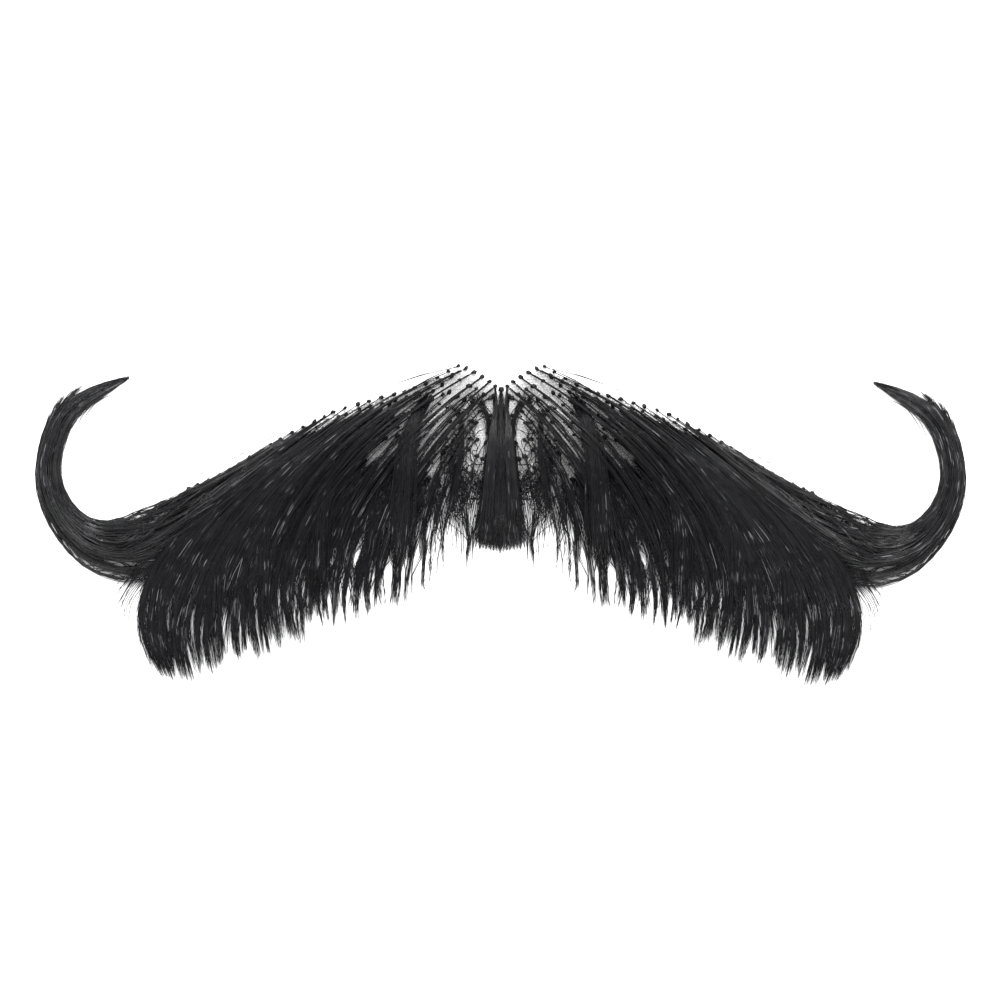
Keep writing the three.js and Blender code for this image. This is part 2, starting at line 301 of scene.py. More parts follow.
def hair_piece(name, courses, half_widths, material, *nodes):
    """One mesh of hairs. courses[hair, point] is a place in mm, and half_widths matches it.
    Each hair has a cell of its own on the mesh's map."""
    hairs, points = courses.shape[:2]
    forward = np.gradient(courses, axis=1)
    forward /= np.maximum(np.linalg.norm(forward, axis=2, keepdims=True), 1e-9)
    sideways = np.cross(forward, (0, 0, 1))
    sideways /= np.maximum(np.linalg.norm(sideways, axis=2, keepdims=True), 1e-9)
    upward = np.cross(sideways, forward)
    turn = rng.uniform(0, 2 * np.pi, (hairs, 1, 1))
    width = half_widths[..., None]
    corners = [
        courses + width * (np.cos(turn + angle) * sideways + np.sin(turn + angle) * upward)
        for angle in (0, 2 * np.pi / 3, 4 * np.pi / 3)
    ]
    places = np.stack(corners, axis=2).reshape(-1, 3) * MM

    ring = np.arange(hairs * points).reshape(hairs, points) * 3
    cells = math.ceil(math.sqrt(hairs))
    cell_corner = np.stack([np.arange(hairs) % cells, np.arange(hairs) // cells], -1)
    cell_corner = cell_corner[:, None, None]
    step = np.arange(points - 1)[:, None]
    faces, places_on_map = [], []
    for side in range(3):
        here, there = ring + side, ring + (side + 1) % 3
        quads = np.stack([here[:, :-1], here[:, 1:], there[:, 1:], there[:, :-1]], -1)
        faces += quads.reshape(-1, 4).tolist()
        across = map_margin + (1 - 2 * map_margin) * (step + (0, 1, 1, 0)) / (points - 1)
        up = map_gap + (1 - 2 * map_gap) * (side + np.array((0, 0, 1, 1)) + 0 * step) / 3
        places_on_map.append((cell_corner + np.stack([across, up], -1)).reshape(-1, 2))
    caps = ((0, (0, 1, 2), cap_gap), (-1, (2, 1, 0), 1 - map_margin + cap_gap))
    for end, order, left in caps:
        faces += (ring[:, end, None] + order).tolist()
        corner = np.array([(left, 0.1), (left + map_margin - 2 * cap_gap, 0.5), (left, 0.9)])
        places_on_map.append((cell_corner[:, 0] + corner).reshape(-1, 2))

    mesh = bpy.data.meshes.new(name)
    mesh.from_pydata(places.tolist(), [], faces)
    mesh.shade_smooth()
    hair_map = mesh.uv_layers.new(name="OFBake")
    hair_map.data.foreach_set("uv", (np.concatenate(places_on_map) / cells).ravel())
    # The attribute holds each hair's black and, where it runs high, a painted glint.
    tint_and_painted_glint = mesh.attributes.new("tint_and_painted_glint", "FLOAT", "POINT")
    tints_and_painted_glints = rng.uniform(0, tint_range, (hairs, 1)) + rng.normal(0, tint_and_glint_noise, (hairs, points))
    tints_and_painted_glints = tints_and_painted_glints + painted_tip_glint * np.linspace(0, 1, points) ** 3
    tint_and_painted_glint.data.foreach_set("value", np.repeat(np.clip(tints_and_painted_glints, 0, 1), 3))
    mesh.materials.append(material)
    piece = bpy.data.objects.new(name, mesh)
    bpy.context.scene.collection.objects.link(piece)
    if nodes:
        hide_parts(*nodes)
    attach(piece, "root")
    return piece


# The hair of each wing is swept outwards from its knots and bends down to a trimmed fringe.
# Knotting starts at the lip side, so that hair from the top edge lies over all the rest.
# The lines that it follows run from the middle outwards: first from the sides of the tuft,
# then from the top edge. Each has the root, two corners that bend it, and the trimmed end,
# across and up as shares of the half span and half height.
hair_lines = np.array(
    [
        (0.033, 0.362, 0.044, 0.211, 0.051, -0.020, 0.051, -0.290),
        (0.036, 0.550, 0.083, 0.430, 0.122, 0.140, 0.126, -0.400),
        (0.029, 0.725, 0.096, 0.574, 0.173, 0.200, 0.182, -0.520),
        (0.012, 0.870, 0.096, 0.624, 0.230, 0.176, 0.242, -0.560),
        (0.028, 0.900, 0.152, 0.623, 0.337, 0.130, 0.335, -0.622),
        (0.046, 0.935, 0.212, 0.596, 0.432, 0.109, 0.408, -0.690),
        (0.068, 0.965, 0.277, 0.658, 0.523, 0.063, 0.488, -0.776),
        (0.090, 1.000, 0.335, 0.719, 0.583, 0.075, 0.536, -0.850),
        (0.150, 0.895, 0.346, 0.644, 0.617, -0.051, 0.581, -0.890),
        (0.210, 0.825, 0.393, 0.542, 0.665, -0.146, 0.626, -0.940),
        (0.255, 0.795, 0.439, 0.454, 0.721, -0.217, 0.667, -0.990),
        (0.303, 0.750, 0.482, 0.378, 0.786, -0.243, 0.706, -1.020),
        (0.352, 0.713, 0.529, 0.327, 0.842, -0.276, 0.728, -0.990),
        (0.402, 0.636, 0.579, 0.231, 0.872, -0.258, 0.747, -0.945),
    ]
)
wing_loft = 4.2
fringe_loft = 0.8
lace_room = 1.3
# Shares of the loft outwards over the lines, and along a line from its root to its end
fullness = (0.5, 0.62, 0.85, 1, 1, 0.95, 0.8)
depth_places = (0, 0.15, 0.4, 0.62, 0.78, 0.88, 1)
depths = (0.14, 0.55, 1, 0.88, 0.5, 0.3, 0.12)
# Shares of the room over the lace, for the outermost hair and the lowest
room_places = (0, 0.4, 0.65, 0.86, 1)
top_rooms = (1, 1, 0.75, 0.2, 0)
floor_rooms = (0.6, 0.6, 0.5, 0.25, 0.1)
lace_end_lines = (0, 0.08, 0.25, 0.5, 0.75, 1)
lace_ends = (0.3, 0.5, 0.52, 0.5, 0.42, 0.36)


def on_wing(line, along):
    """Places across and up, in mm. line runs from 0 to 1 outwards, and along from 0 at the
    lace's edge to 1 at the trimmed ends."""
    at = np.linspace(0, 1, len(hair_lines))
    corners = np.stack([np.interp(line, at, column) for column in hair_lines.T], -1)
    corners = corners.reshape(*corners.shape[:-1], 4, 2) * (half_span, half_height)
    root, sweep, bend, tip = (corners[..., i, :] for i in range(4))
    part = np.clip(along, 0, 1)[..., None]
    past = np.maximum(along - 1, 0)[..., None]
    left = 1 - part
    first_half = left**3 * root + 3 * left**2 * part * sweep
    curve = first_half + 3 * left * part**2 * bend + part**3 * tip
    return curve + 3 * past * (tip - bend)


def wing_top(line, along):
    """Height in mm of the outermost hair."""
    full = np.interp(line, np.linspace(0, 1, len(fullness)), fullness)
    depth = np.interp(along, depth_places, depths)
    over_lace = np.interp(along, room_places, top_rooms)
    return lace_room * over_lace + np.maximum(wing_loft * full * depth, fringe_loft)


def wing_floor(along):
    """Height in mm of the lowest hair."""
    return lace_room * np.interp(along, room_places, floor_rooms)


def lace_end(line):
    """Where along a line the lace ends."""
    return np.interp(line, lace_end_lines, lace_ends)


# The knots lie in rows along the top edge, and each row is a step further down the hair.
# Beyond the last of the hair lines, the knots on the edge hold the hair of the curls.
curl_roots = [(0.452, 0.568), (0.514, 0.464), (0.577, 0.346), (0.613, 0.292), (0.682, 0.197)]
first_edge_line = 3
before_the_notch = (-0.095, 0.707)
edge_shares = [before_the_notch, *hair_lines[first_edge_line:, :2], *curl_roots]
edge = np.array(edge_shares) * (half_span, half_height)
edge_length = np.concatenate([[0], np.cumsum(np.linalg.norm(np.diff(edge, axis=0), axis=1))])
notch_corner = 6.7
notch_pitch = 1.45
knot_pitch = 1.9
pitch_range = (0.85, 1.15)
knot_rows = (0, 0.5, 1, 2, 3, 4, 5, 6, 7, 8, 9)
row_step = np.array((0.95, -2.1))
row_scatter = 0.2
edge_row_from = 0.6
tuft_side = 1.6
grid_lines, grid_alongs = np.meshgrid(
    np.linspace(0, 1, 201), np.linspace(0, 0.7, 141), indexing="ij"
)
grid_places = on_wing(grid_lines, grid_alongs)


def nearest_on_wing(x, y):
    """The line and the place along it that pass closest to a place in mm, and how close."""
    distance = np.hypot(grid_places[..., 0] - x, grid_places[..., 1] - y)
    found = np.unravel_index(np.argmin(distance), distance.shape)
    return grid_lines[found], grid_alongs[found], distance[found]


knots = []
for order, row in enumerate(knot_rows):
    distance = (order % 2) * 0.5 * notch_pitch
    while distance < edge_length[-1]:
        place = np.array([np.interp(distance, edge_length, column) for column in edge.T])
        x, y = place + row * row_step + (row > 0) * rng.normal(0, row_scatter, 2)
        in_notch = place[0] < notch_corner
        distance += notch_pitch if in_notch else knot_pitch * rng.uniform(*pitch_range)
        extra = row == 0.5 and x < notch_corner
        clear_of_tuft = row == 0 or x > tuft_side and on_lace(x, y)
        if x > edge_row_from and not extra and clear_of_tuft:
            knots.append((x, y, *nearest_on_wing(x, y), row))
knots = np.array(knots)
knot_x, knot_y, knot_line, knot_along, knot_gap, knot_row = knots.T

# Towards the ends, hairs cling together in fine strands, and strands in teeth. Narrow slits
# open between them, some of them well above the ends.
teeth = 44
strands = 128
slits = 190
tooth_places = np.sort(np.linspace(0.0, 1, teeth) + rng.normal(0, 0.006, teeth))
tooth_reach = rng.normal(0.99, 0.011, teeth)
tooth_lean = rng.normal(0, 0.004, teeth)
tooth_pull = rng.uniform(0.0, 0.08, teeth)
tooth_onset = rng.uniform(0.6, 0.9, teeth)
strand_places = np.sort(np.linspace(0.0, 1, strands) + rng.normal(0, 0.003, strands))
strand_pull = rng.uniform(0.3, 0.75, strands)
strand_onset = rng.uniform(0.5, 0.88, strands)
strand_reach = rng.normal(1, 0.006, strands)
strand_stray = rng.normal(0, 0.1, strands)
# Where across the wing a slit is, where along it it starts and ends, and half its width
wide_slits = np.array(
    [
        (0.055, 0.62, 1.05, 0.011),
        (0.105, 0.72, 1.00, 0.005),
        (0.135, 0.68, 0.96, 0.006),
        (0.170, 0.76, 1.03, 0.006),
        (0.210, 0.72, 0.98, 0.005),
    ]
)
slit_places = rng.uniform(0.02, 1, slits)
slit_starts = rng.uniform(0.68, 0.97, slits)
slit_ends = slit_starts + rng.uniform(0.07, 0.17, slits)
slit_growth = np.interp(slit_places, (0, 0.5, 0.6, 1), (0.9, 0.9, 1.2, 1.4))
slit_halves = rng.uniform(0.002, 0.006, slits) * slit_growth
slit_halves *= np.interp(slit_ends, (0.98, 1.03), (1.1, 0.55))
slit_rows = np.stack([slit_places, slit_starts, slit_ends, slit_halves], -1)
slit_rows = np.concatenate([wide_slits, slit_rows])
slit_leans = rng.normal(0, 0.03, len(slit_rows))
strand_scatter = 0.002
tooth_scatter = 0.004
outermost_lines = 0.92
hook_lines = (0, 0.2, 0.4, 0.85, 1)
hooks = (0, 0.4, 1.2, 1.1, 0.4)
hook_start = 0.78
hook_length = 0.22
rise_share = 0.18
hair_jitter = 0.035


def opened(lines, along):
    """The lines of hairs, pushed aside to both sides of the slits."""
    for (place, start, end, half), lean in zip(slit_rows, slit_leans):
        aside = lines - place - lean * (along - start)
        open_share = np.sqrt(np.sin(np.pi * np.clip((along - start) / (end - start), 0, 1)))
        near = np.exp(-((aside / (3 * half)) ** 2))
        lines = lines + np.sign(aside) * half * open_share * near
    return lines


def gathered(along, line, places, pull, onset, scatter):
    """How far hairs move from their lines to one of the places, from its onset on. It is the
    nearest place, but for a scatter in where a hair looks for it."""
    nearest = np.argmin(abs(places - (line + rng.normal(0, scatter, len(line)))[:, None]), axis=1)
    onset = onset[nearest][:, None]
    share = np.clip((along - onset) / (1 - onset), 0, 1.1) ** 1.3
    return (places[nearest] - line)[:, None] * pull[nearest][:, None] * share


def wing_courses(root_line, line, start, reach, level, points, wander):
    """Hairs of a wing, each with this many points. A hair drifts from root_line to line and
    runs from start to reach along it. level is 0 for the lowest hair to 1 for the outermost,
    and wander is how much the hair waves."""
    hairs = len(line)
    share = np.linspace(0, 1, points)
    tooth = np.argmin(abs(tooth_places - line[:, None]), axis=1)
    strand = np.argmin(abs(strand_places - line[:, None]), axis=1)
    end = reach * tooth_reach[tooth] * strand_reach[strand]
    along = start[:, None] + (end - start)[:, None] * share
    sway = rng.uniform(0, 2 * np.pi, (hairs, 2))
    long_waves = np.sin(2 * np.pi * 0.8 * share + sway[:, :1])
    short_waves = 0.4 * np.sin(2 * np.pi * 2.1 * share + sway[:, 1:])
    waves = long_waves + short_waves
    lines = root_line[:, None] + (line - root_line)[:, None] * share**0.7
    lines = lines + (wander + 0 * line)[:, None] * waves * np.sin(np.pi * share**0.8)
    to_strand = gathered(along, line, strand_places, strand_pull, strand_onset, strand_scatter)
    to_tooth = gathered(along, line, tooth_places, tooth_pull, tooth_onset, tooth_scatter)
    lines = lines + to_strand + to_tooth + tooth_lean[tooth][:, None] * share**3
    # Lines that would leave the wing turn back into it.
    lines = 1 - abs(1 - abs(lines))
    places = on_wing(opened(lines, along), along)
    own_stray = rng.normal(0, 1, hairs) * (0.12 + 0.35 * (line > outermost_lines))
    stray = own_stray + strand_stray[strand]
    places[..., 0] += stray[:, None] * share**3
    hook = np.interp(lines, hook_lines, hooks)
    places[..., 0] -= hook * np.clip((along - hook_start) / hook_length, 0, 1.2) ** 1.6
    places = places + rng.normal(0, hair_jitter, places.shape)
    rise = np.clip(share / rise_share, 0, 1) ** 0.6
    low, top = wing_floor(along), wing_top(lines, along)
    height = low + (top - low) * level[:, None]
    root_height = lace_level(places[:, :1, 0], places[:, :1, 1])
    height = root_height + (height - root_height) * rise
    return np.concatenate([places, height[..., None]], -1)


def tapered(hairs, points, half_width, tip_share):
    """Half widths of hairs, from a slightly thinner root to a fine tip. The tip takes up
    tip_share of a hair."""
    share = np.linspace(0, 1, points)
    root_form = np.minimum(0.8 + 4 * share, 1)
    tip_form = np.minimum(1, (1 - share) / tip_share * 0.7 + 0.3)
    return half_width * rng.uniform(0.75, 1.25, (hairs, 1)) * (root_form * tip_form)


dense_lines = (0, 0.08, 0.15, 0.2, 0.26, 0.31, 0.39, 0.46, 0.54, 0.85, 1)
densities = (0.04, 0.06, 0.11, 0.32, 0.8, 1.15, 1.2, 1.05, 0.95, 1.0, 0.8)
start_lines = (0.1, 0.23, 0.31, 0.39, 0.46, 0.54, 0.62, 0.7, 1)
first_starts = (0.55, 0.52, 0.5, 0.46, 0.38, 0.25, 0.11, 0.06, 0.03)


def lines_by_weight(count):
    """Lines for hairs, few near the tuft and many where the lines spread."""
    grid = np.linspace(0, 1, 201)
    total = np.cumsum(np.interp(grid, dense_lines, densities))
    return np.interp(rng.uniform(0, total[-1], count), total, grid)


def first_start(line):
    """Where along a line the dense hair starts. Nearer the edge there are only single knots."""
    return np.interp(line, start_lines, first_starts)


black_hair = hair_material("black hair", 0.36, 0.14, 0)
under_hairs = 1200
under_points = 6
under_half_width = 0.095
thin_lines = 0.2
outer_hairs = 3600
outer_points = 9
outer_half_width = 0.054
unruly_share = 0.35
off_the_wing = 0.8

line = np.clip(lines_by_weight(under_hairs), thin_lines, 1)
room = lace_end(line) - first_start(line)
start = first_start(line) + 0.06 + rng.uniform(0, 1, under_hairs) * room
under = wing_courses(
    root_line=line,
    line=line,
    start=start,
    reach=rng.uniform(0.6, 0.82, under_hairs),
    level=rng.uniform(0, 0.5, under_hairs),
    points=under_points,
    wander=0.006,
)
under_widths = tapered(under_hairs, under_points, under_half_width, tip_share=0.5)

line = lines_by_weight(outer_hairs)
room = lace_end(line) - first_start(line)
start = first_start(line) + rng.uniform(0, 1, outer_hairs) ** 1.2 * room
within_hair = (knot_row > 0.5) & (knot_along > 0.9 * first_start(knot_line))
holding = np.flatnonzero((knot_gap < off_the_wing) & within_hair)
knot = np.hypot(8 * (knot_line[holding] - line[:, None]), 2 * (knot_along[holding] - start[:, None]))
knot = holding[np.argmin(knot, axis=1)]
unruly = rng.uniform(0, 1, outer_hairs) < unruly_share
line = line + rng.normal(0, 1, outer_hairs) * np.where(unruly, 0.045, 0.01)
outer = wing_courses(
    root_line=knot_line[knot] + rng.normal(0, 0.004, outer_hairs),
    line=line,
    start=knot_along[knot] + rng.normal(0, 0.008, outer_hairs),
    reach=1.01 - 0.3 * rng.uniform(0, 1, outer_hairs) ** 1.8,
    level=np.clip(1 - 0.08 * knot_row[knot] + rng.normal(0, 0.1, outer_hairs), 0.1, 1.02),
    points=outer_points,
    wander=rng.uniform(0.001, 0.007, outer_hairs) + np.where(unruly, 0.011, 0),
)
outer_widths = tapered(outer_hairs, outer_points, outer_half_width, tip_share=0.12)

sides = {"right": 1, "left": -1}
for side, sign in sides.items():
    mirror = (sign, 1, 1)
    hair_piece(f"{side}_wing_under_hair", under * mirror, under_widths, black_hair, f"{side}_wing")
    hair_piece(f"{side}_wing_outer_hair", outer * mirror, outer_widths, black_hair, f"{side}_wing")

# In the thin hair beside the nose the knots show, and so do the first ones along the top edge.
# A few hairs are pulled through a mesh and tied round a thread at each, and leave it as one.
knot_half = 0.4
knot_shape = (1.15, 0.85, 0.8)
knot_bumps = 0.14
bundle_points = 10
bundle_half_width = 0.062
hairs_of_a_knot = 7
hairs_of_an_edge_knot = 4
hairs_of_a_low_knot = 3
gathering_lines = np.array((0.035, 0.075, 0.12, 0.17, 0.26, 0.34, 0.43, 0.51))
gathering = 0.75
gathered_lines = 0.54
shown = (knot_along < 1.15 * first_start(knot_line)) | (knot_row < 2) | (knot_line < 0.22)
on_curl = knot_gap > off_the_wing
shown_knots = knots[shown]
count = np.where(knot_x > notch_corner, hairs_of_an_edge_knot, hairs_of_a_knot)
low = (knot_row > 2) & (knot_line < 0.5) | (knot_line < 0.15)
count = np.where(low, hairs_of_a_low_knot, count)
bundle = np.repeat(np.flatnonzero(shown & ~on_curl), count[shown & ~on_curl])
hairs = len(bundle)
knot_turns = rng.normal(0, 0.025, len(knots))
target = knot_line[bundle] + knot_turns[bundle] + rng.normal(0, 0.006, hairs)
nearest = gathering_lines[np.argmin(abs(gathering_lines - target[:, None]), axis=1)]
gathers = knot_line[bundle] < gathered_lines
target = np.where(gathers, target + gathering * (nearest - target), target)
bundles = wing_courses(
    root_line=knot_line[bundle],
    line=target,
    start=knot_along[bundle],
    reach=1.0 - 0.3 * rng.uniform(0, 1, hairs) ** 1.4,
    level=np.clip(1.02 - 0.08 * knot_row[bundle] + rng.normal(0, 0.08, hairs), 0.15, 1.05),
    points=bundle_points,
    wander=rng.uniform(0.001, 0.005, hairs),
)
knot_spread = np.where((knot_x < notch_corner) & (knot_row == 0), 0.1, 0.055)
bundles[..., :2] += rng.normal(0, 1, (hairs, 1, 2)) * knot_spread[bundle, None, None]
bundle_widths = tapered(hairs, bundle_points, bundle_half_width, tip_share=0.15)

bpy.ops.object.select_all(action="DESELECT")
bpy.ops.mesh.primitive_ico_sphere_add(subdivisions=2, radius=1)
knot_form = bpy.context.object
ball = np.array([vertex.co for vertex in knot_form.data.vertices])
ball_faces = np.array([face.vertices for face in knot_form.data.polygons])
bpy.data.objects.remove(knot_form)

# The three knots over the tuft hold its middle stem and the two stems of this side.
side_stems = [(0.95, 22.1), (1.15, 20.6)]
middle_knot = (0.02, 21.6)
beside_the_tuft = shown_knots[shown_knots[:, 0] > tuft_side, :2]
ball_centres = [*beside_the_tuft, middle_knot, *side_stems]
knot_places, knot_faces = [], []
for x, y in ball_centres:
    size = knot_half * rng.uniform(0.8, 1.15) * (1 if x < notch_corner else 0.85)
    form = ball * size * knot_shape
    form = form * (1 + rng.normal(0, knot_bumps, (len(ball), 1)))
    turn = rng.uniform(-1.2, 0.2)
    turned_x = form[:, 0] * math.cos(turn) - form[:, 1] * math.sin(turn)
    turned_y = form[:, 0] * math.sin(turn) + form[:, 1] * math.cos(turn)
    middle = (x, y, lace_level(x, y) + 0.4 * size)
    knot_faces.append(ball_faces + len(ball) * len(knot_places))
    knot_places.append(np.stack([turned_x, turned_y, form[:, 2]], -1) + middle)
knot_places = np.concatenate(knot_places)
knot_faces = np.concatenate(knot_faces)
for side, sign in sides.items():
    mesh = bpy.data.meshes.new(f"{side}_knots")
    mesh.from_pydata((knot_places * (sign, 1, 1) * MM).tolist(), [], knot_faces[:, ::sign].tolist())
    mesh.shade_smooth()
    tint_and_painted_glint = mesh.attributes.new("tint_and_painted_glint", "FLOAT", "POINT")
    tint_and_painted_glint.data.foreach_set("value", np.repeat(rng.uniform(0, 0.6, len(ball_centres)), len(ball)))
    mesh.materials.append(black_hair)
    piece = bpy.data.objects.new(f"{side}_knots", mesh)
    bpy.context.scene.collection.objects.link(piece)
    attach(piece, "root")
    hair_piece(f"{side}_knotted_hair", bundles * (sign, 1, 1), bundle_widths, black_hair, f"{side}_wing")

# Some locks cross over the rest, because their hair bends down sooner than its neighbours.
# A row has four places that the lock passes, across and up, then its half width in mm at the
# first, the second and the last of them, its height over the table, and its hairs.
crossing_locks = [
    ((0.150, 0.830), (0.187, 0.620), (0.208, 0.235), (0.226, -0.310), (0.6, 1.4, 2.2), 5.4, 120),
    ((0.118, 0.760), (0.086, 0.640), (0.094, 0.300), (0.120, -0.080), (0.3, 0.8, 1.5), 3.4, 32),
    ((0.060, 0.860), (0.030, 0.640), (0.031, 0.340), (0.040, -0.060), (0.3, 0.7, 1.1), 2.2, 14),
    ((0.075, 0.820), (0.040, 0.740), (0.021, 0.600), (0.030, 0.250), (0.3, 0.8, 1.1), 2.4, 14),
    ((0.105, 0.430), (0.098, 0.200), (0.085, -0.050), (0.080, -0.240), (0.8, 1.0, 1.3), 2.4, 16),
    ((0.330, 0.580), (0.450, 0.240), (0.505, -0.020), (0.512, -0.560), (0.6, 1.3, 1.8), 5.3, 80),
    ((0.230, 0.680), (0.330, 0.400), (0.385, 0.060), (0.390, -0.500), (0.6, 1.4, 2.0), 4.8, 80),
    ((0.420, 0.480), (0.540, 0.170), (0.610, -0.180), (0.625, -0.760), (0.6, 1.4, 1.8), 5.2, 70),
]
lock_points = 10
lock_steps = 60
lock_half_width = 0.055


def spaced_out(points, steps, count):
    """This many points on the line through the points, at equal parts of the steps' sum."""
    length = np.concatenate([[0], np.cumsum(steps)])
    spaced = np.linspace(0, length[-1], count)
    return np.stack([np.interp(spaced, length, column) for column in points.T], -1)


def smooth_line(rows, count):
    """Points of a smooth curve through the rows, evenly spaced."""
    last = len(rows) - 1
    at = np.linspace(0, last, 20 * last + 1)
    index = np.minimum(at.astype(int), last - 1)
    part = (at - index)[:, None]
    before = rows[np.maximum(index - 1, 0)]
    here, there = rows[index], rows[index + 1]
    after = rows[np.minimum(index + 2, last)]
    bend = 2 * before - 5 * here + 4 * there - after
    twist = 3 * (here - there) + after - before
    fine = here + 0.5 * part * (there - before + part * (bend + part * twist))
    return spaced_out(fine, np.linalg.norm(np.diff(fine[:, :2], axis=0), axis=1), count)


locks = []
for *stops, half_widths, top, count in crossing_locks:
    middle = smooth_line(np.array(stops) * (half_span, half_height), lock_steps)
    ahead = np.gradient(middle, axis=0)
    ahead /= np.linalg.norm(ahead, axis=1, keepdims=True)
    course = np.concatenate([middle, ahead], 1)
    at = np.linspace(0, 1, lock_steps)
    for aside in rng.normal(0, 0.5, count):
        begin = rng.uniform(0, 0.12)
        finish = rng.uniform(0.82, 1.02)
        along = begin + (finish - begin) * np.linspace(0, 1, lock_points)
        half = np.interp(along, (0, 0.35, 1), half_widths)
        sway = rng.uniform(0, 2 * np.pi)
        offset = half * (aside + 0.22 * np.sin(2 * np.pi * along + sway))
        x, y, ahead_x, ahead_y = (np.interp(along, at, column) for column in course.T)
        x, y = x + ahead_y * offset, y - ahead_x * offset
        height = np.interp(along, (0, 0.15, 0.5, 0.8, 1), (0.5, 0.75 * top, top, 0.6 * top, 0.8))
        height = height - 0.5 * abs(aside) + rng.uniform(-0.4, 0.1)
        locks.append(np.stack([x, y, np.maximum(height, 0.3)], -1))
locks = np.array(locks)
lock_widths = tapered(len(locks), lock_points, lock_half_width, tip_share=0.15)
for side, sign in sides.items():
    hair_piece(f"{side}_crossing_locks", locks * (sign, 1, 1), lock_widths, black_hair, f"{side}_wing")

# The tuft under the nose is knotted close, falls straight, and spreads a little at its ends.
# Both halves of it are alike. The rows are heights down from mid height, in mm, and then half
# the tuft's width and the height of its outermost hair over the table at each.
tuft_hairs = 520
tuft_points = 9
tuft_half_width = 0.055
tuft_rows = (-21.6, -19.6, -18.6, -17.4, -12.7, -6.3, 0, 3.5)
tuft_half = (0.08, 0.2, 0.9, 1.55, 2.0, 2.7, 3.4, 3.7)
tuft_tops = (0.8, 2.0, 2.4, 3.0, 4.4, 4.3, 2.8, 0.9)

middle_stem_hairs = 14
root_y = 19.2 - 12.7 * rng.uniform(0, 1, tuft_hairs)
root_y[:middle_stem_hairs] = 21.5
root_x = rng.uniform(-0.25, 1, tuft_hairs)
share = np.linspace(0, 1, tuft_points)
clump_pitch = 0.55
clump_ends = rng.normal(0, 0.55, 24)
end_y = -2.9 - 1.3 * rng.uniform(0, 1, tuft_hairs) - 0.7 * rng.uniform(0, 1, tuft_hairs) ** 5
middle_notch = 0.9 * np.exp(-((root_x / 0.12) ** 2))
end_y = end_y + clump_ends[(root_x * 16).astype(int) + 4] + middle_notch
end_y = end_y + (rng.uniform(0, 1, tuft_hairs) < 0.25) * rng.uniform(0.5, 4, tuft_hairs)
y = root_y[:, None] + (end_y - root_y)[:, None] * share
half = np.interp(-y, tuft_rows, tuft_half)
sway = rng.uniform(0, 2 * np.pi, (tuft_hairs, 2))
long_waves = 0.16 * np.sin(2 * np.pi * share + sway[:, :1])
short_waves = 0.05 * np.sin(2 * np.pi * 2.7 * share + sway[:, 1:])
drift = long_waves + short_waves
crossing = rng.normal(0, 0.16, (tuft_hairs, 1)) * share**1.5
x = (root_x[:, None] + drift + crossing) * half
clump = np.round(x[:, -1:] / clump_pitch + rng.normal(0, 0.2, (tuft_hairs, 1))) * clump_pitch
x = x + (clump - x[:, -1:]) * 0.6 * share**4
level = np.clip(rng.uniform(0, 1, (tuft_hairs, 1)) + 0.2 * (root_y[:, None] - 14) / 8, 0, 1)
top = np.interp(-y, tuft_rows, tuft_tops)
low = np.interp(-y, (-5, 4), (0.8, 0.1))
rise = np.clip(share / 0.15, 0, 1) ** 0.6
root_height = lace_level(x[:, :1], root_y[:, None])
bulge = np.sqrt(1 - 0.75 * np.clip(root_x[:, None], 0, 1) ** 2)
height = root_height + (low + (top - low) * level * bulge - root_height) * rise
tuft = np.stack([x, y, height], -1)

side_stem_hairs = 22
for stem_x, stem_y in side_stems:
    stem_place = rng.uniform(0.4, 1, (side_stem_hairs, 1))
    y = stem_y + (rng.uniform(-3.5, 6, (side_stem_hairs, 1)) - stem_y) * share
    fallen = np.interp(-y, tuft_rows, tuft_half) * stem_place
    near_knot = np.clip((y - 15) / (stem_y - 15), 0, 1) ** 0.8
    x = stem_x * near_knot + fallen * (1 - near_knot) + rng.normal(0, 0.09, (side_stem_hairs, 1))
    height = np.interp(-y, tuft_rows, tuft_tops) * np.clip(share / 0.15, 0.2, 1)
    tuft = np.concatenate([tuft, np.stack([x, y, height], -1)])
tuft = np.concatenate([tuft, tuft * (-1, 1, 1)])
tuft_widths = tapered(len(tuft) // 2, tuft_points, tuft_half_width, tip_share=0.15)
tuft_widths = np.concatenate([tuft_widths, tuft_widths])
tuft_hair = hair_material("combed black hair", 0.34, 0.18, 0)
hair_piece("centre_tuft_hair", tuft, tuft_widths, tuft_hair, "centre_tuft")

# Each curl is the long hair of the top edge, drawn out, turned up and held by wax. Its hairs
# come from all over the outer half of the wing, lie side by side in strands, and most run
# right to the tip. Some of the outer ones end sooner, so that the curl's back is stepped.
# Rows are across and up of the middle as shares of the half span and half height, half the
# width and half the depth in mm, and how much of the lace's room is under it.
curl_line = np.array(
    [
        (0.335, 0.63, 1.9, 0.9, 1),
        (0.39, 0.54, 2.5, 1.4, 1),
        (0.44, 0.44, 3.0, 1.8, 1),
        (0.515, 0.30, 3.5, 2.1, 1),
        (0.60, 0.14, 4.0, 2.3, 1),
        (0.685, -0.03, 4.8, 2.4, 0.85),
        (0.775, -0.166, 5.6, 2.3, 0.3),
        (0.832, -0.178, 4.95, 2.1, 0),
        (0.885, -0.145, 3.9, 1.9, 0),
        (0.927, -0.052, 2.95, 1.8, 0),
        (0.958, 0.075, 2.4, 1.7, 0),
        (0.978, 0.23, 2.15, 1.6, 0),
        (0.978, 0.40, 2.0, 1.5, 0),
        (0.962, 0.57, 2.05, 1.4, 0),
        (0.95, 0.645, 1.95, 1.35, 0),
        (0.932, 0.725, 1.95, 1.25, 0),
        (0.898, 0.793, 1.9, 1.1, 0),
        (0.862, 0.845, 1.45, 0.8, 0),
        (0.832, 0.88, 0.85, 0.5, 0),
        (0.805, 0.91, 0.3, 0.3, 0),
    ]
)
curl_steps = 240
smoothings = 60
parting_reach = 0.12
